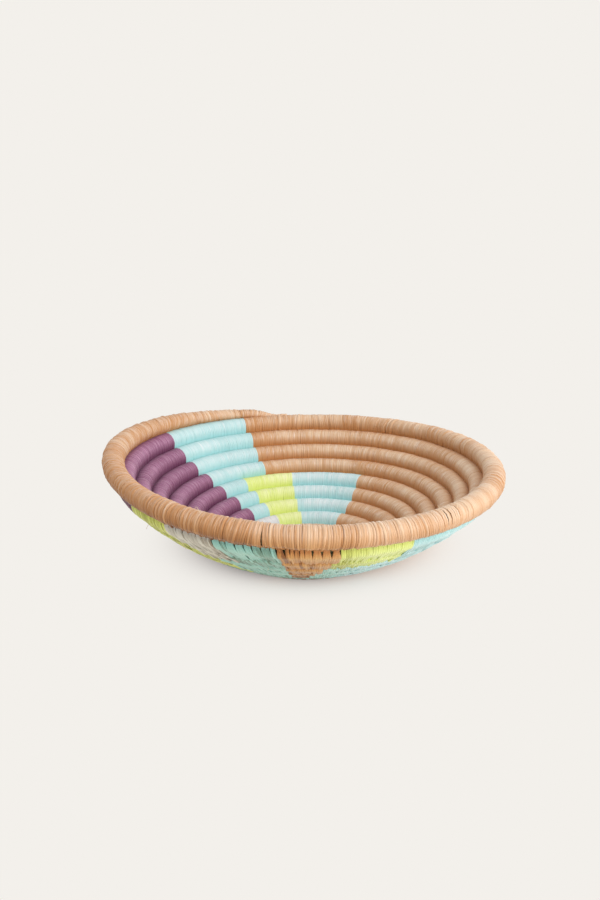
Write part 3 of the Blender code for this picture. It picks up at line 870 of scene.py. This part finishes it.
# Where each starts and ends, as turn number and angle round the coil, then the height of its
# bow and of its far end, in mm
STRAY_FIBRES = (
    (0.3915, -20.0, 0.3990, -5.0, 2.2, 0.0),
    (0.4265, 0.0, 0.4275, -12.0, 0.2, 2.0),
    (0.4480, 0.0, 0.4483, -8.0, 0.1, 2.2),
    (0.4700, -5.0, 0.4712, -25.0, 0.3, 1.2),
    (0.5900, -20.0, 0.5925, -45.0, 0.5, 1.4),
    (0.6060, 0.0, 0.6090, -20.0, 0.6, 0.8),
    (3.4730, 70.0, 3.4690, 118.0, 0.3, 0.7),
    (3.4830, 80.0, 3.4790, 112.0, 0.2, 0.6),
    (3.4440, 70.0, 3.4425, 108.0, 0.3, 0.5),
    (2.3640, 60.0, 2.3670, 95.0, 0.2, 1.5),
    (2.3620, 65.0, 2.3630, 100.0, 0.3, 1.2),
    (2.3150, 60.0, 2.3110, 85.0, 0.2, 2.6),
)


def split_fibre():
    """One fibre of sisal on its own: pale, undyed inside and a little glossy."""
    material, tree = new_material("split_fibre")
    shader = add_node(tree, "ShaderNodeBsdfPrincipled", Base_Color=linear(HAIR_COLOUR),
                      Roughness=HAIR_ROUGHNESS, Specular_IOR_Level=HAIR_SPECULAR)
    add_node(tree, "ShaderNodeOutputMaterial", Surface=shader)
    return material


def hair_line(from_turn, from_angle, to_turn, to_angle, bow, far_end):
    """Points of one stray fibre, which stands off the coil by its bow and at its far end."""
    share = np.linspace(0.0, 1.0, HAIR_POINTS)
    turn, angle = mix(from_turn, to_turn, share), mix(from_angle, to_angle, share)[:, None]
    section = section_at(turn)
    off = (bow * np.sin(math.pi * share) + far_end * share ** 2)[:, None]
    away = section["along"] * np.cos(np.radians(angle)) + section["across"] * np.sin(np.radians(angle))
    return place_on_coil(turn, on_section(section, angle)[:, 0] + off * away)


hairs = np.array([hair_line(*fibre) for fibre in STRAY_FIBRES])
facts = {"thickness": np.full(hairs.shape[:2], HAIR_RADIUS * MM), "tone": np.zeros(hairs.shape[:2])}
source = lines_mesh("fibre_lines", hairs, facts)
stray = grown("stray_fibres", source, round_stalks, {"Sides": HAIR_SIDES, "Surface": split_fibre()})
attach(stray, "root")
print(f"stray fibres: {len(hairs)}, {triangles(stray)} triangles")

# %% [markdown]
# ## A floor without a horizon
# The basket stands on a white sweep that runs up behind it, so no horizon shows. A flat disc
# does the same if it and the world show the camera one and the same pale tone. Only near the
# foot does the disc mix in its true shading, which gives a shadow as faint as the real one.

# %% Make the floor
PAPER = "#F3F0EB"
# In metres, as all that stands round the basket: where the shadow is, and how it fades as a
# bell curve, which is as good as nothing at SHADOW_END reaches
SHADOW_MIDDLE = (0.002, 0.028, 0.0)
SHADOW_FROM, SHADOW_REACH, SHADOW_STRENGTH, SHADOW_END = 0.036, 0.025, 1.3, 4.0
FLOOR_RADIUS, FLOOR_DROP, FLOOR_CORNERS = 1.6, 0.0002, 96


def direct_look(tree):
    """1 for rays that the camera sees straight, in a gloss or through glass, 0 for light that bounces."""
    rays = add_node(tree, "ShaderNodeLightPath").node.outputs
    camera, gloss, glass = (rays[f"Is {kind} Ray"] for kind in ("Camera", "Glossy", "Transmission"))
    total = add_node(tree, "ShaderNodeMath", {"operation": "ADD"}, camera, gloss)
    return add_node(tree, "ShaderNodeMath", {"operation": "ADD", "use_clamp": True}, total, glass)


def matt_paper():
    """Matt paper: one even pale tone with no gloss, so only the soft shadow shows on it."""
    material, tree = new_material("matt_paper")
    seen = add_node(tree, "ShaderNodeEmission", Color=linear(PAPER), Strength=1.0)
    real = add_node(tree, "ShaderNodeBsdfDiffuse", Color=linear(PAPER))
    place = add_node(tree, "ShaderNodeTexCoord", output=3)
    reach = add_node(tree, "ShaderNodeVectorMath", {"operation": "DISTANCE"}, place, SHADOW_MIDDLE)
    past_foot = add_node(tree, "ShaderNodeMapRange", (), reach, SHADOW_FROM,
                         SHADOW_FROM + SHADOW_END * SHADOW_REACH, 0.0, SHADOW_END)
    fading = add_node(tree, "ShaderNodeMath", MULTIPLY, past_foot, past_foot)
    fading = add_node(tree, "ShaderNodeMath", MULTIPLY, fading, -1.0)
    near = add_node(tree, "ShaderNodeMath", {"operation": "EXPONENT"}, fading)
    near = add_node(tree, "ShaderNodeMath", MULTIPLY, near, SHADOW_STRENGTH)
    shown = add_node(tree, "ShaderNodeMixShader", (), near, seen, real)
    surface = add_node(tree, "ShaderNodeMixShader", (), direct_look(tree), real, shown)
    add_node(tree, "ShaderNodeOutputMaterial", Surface=surface)
    return material


around = np.linspace(0.0, 2.0 * math.pi, FLOOR_CORNERS, endpoint=False)
disc = [(FLOOR_RADIUS * math.cos(a), FLOOR_RADIUS * math.sin(a), -FLOOR_DROP) for a in around]
floor_mesh = bpy.data.meshes.new("floor")
floor_mesh.from_pydata(disc, [], [list(range(len(disc)))])
floor_mesh.materials.append(matt_paper())
floor = bpy.data.objects.new("floor", floor_mesh)
bpy.context.scene.collection.objects.link(floor)
print(f"floor: a disc of {FLOOR_RADIUS} m radius")

# %% [markdown]
# ## Light
# The light is a broad soft one from above at the front right, with a white card below it that
# brightens the outside on the right, and an even glow all round. The camera sees the paper's
# tone in place of the glow, so the background doesn't change when the glow does.

# %% Set the lights
AMBIENT, AMBIENT_COLOUR = 0.78, "#FFFDFA"
# Each soft box is square and looks at one point: its watts, width, place and colour
SOFT_BOXES = {
    "window_right": (9.5, 0.9, (0.95, -0.62, 0.78), "#FFF9F2"),
    "white_card_right": (1.7, 0.35, (0.80, -0.50, 0.10), "#F8FBFF"),
}
AIM = (0.0, 0.0, 0.03)

world = bpy.data.worlds.new("studio")
world.use_nodes = True
world.node_tree.nodes.clear()
tree = world.node_tree
seen = add_node(tree, "ShaderNodeBackground", Color=linear(PAPER), Strength=1.0)
glow = add_node(tree, "ShaderNodeBackground", Color=linear(AMBIENT_COLOUR), Strength=AMBIENT)
both = add_node(tree, "ShaderNodeMixShader", (), direct_look(tree), glow, seen)
add_node(tree, "ShaderNodeOutputWorld", Surface=both)
bpy.context.scene.world = world
for name, (watts, width, at, colour) in SOFT_BOXES.items():
    lamp = bpy.data.lights.new(name, "AREA")
    lamp.energy, lamp.size, lamp.color = watts, width, linear(colour)[:3]
    box = bpy.data.objects.new(name, lamp)
    box.location = at
    box.rotation_euler = (Vector(AIM) - Vector(at)).to_track_quat("-Z", "Y").to_euler()
    bpy.context.scene.collection.objects.link(box)
print("light:", ", ".join(SOFT_BOXES), "and a glow of", AMBIENT)

# %% [markdown]
# ## Camera
# The photograph looks down by 18.1 degrees, level from side to side, and the basket is
# two thirds of its width. Lens and distance give that size in a 600 x 900 frame, and a nearer
# camera would show the rim's front too large against its back.

# %% Place the camera
LOOK_DOWN = 0.316
CAMERA_DISTANCE = 750.0
LENS, SENSOR = 61.25, 36.0
CAMERA_AIM = np.array((-1.95, 2.68, 54.85))

camera = bpy.data.objects.new("camera", bpy.data.cameras.new("camera"))
camera.data.lens, camera.data.sensor_width = LENS, SENSOR
camera.data.clip_start, camera.data.clip_end = 0.01, 20.0
back = np.array((0.0, -math.cos(LOOK_DOWN), math.sin(LOOK_DOWN)))
camera.location = (CAMERA_AIM + CAMERA_DISTANCE * back) * MM
camera.rotation_euler = (math.pi / 2.0 - LOOK_DOWN, 0.0, 0.0)
bpy.context.scene.collection.objects.link(camera)
bpy.context.scene.camera = camera
bpy.context.scene.view_settings.view_transform = "Standard"
print(f"camera: {math.degrees(LOOK_DOWN):.1f} degrees down, {LENS} mm lens")
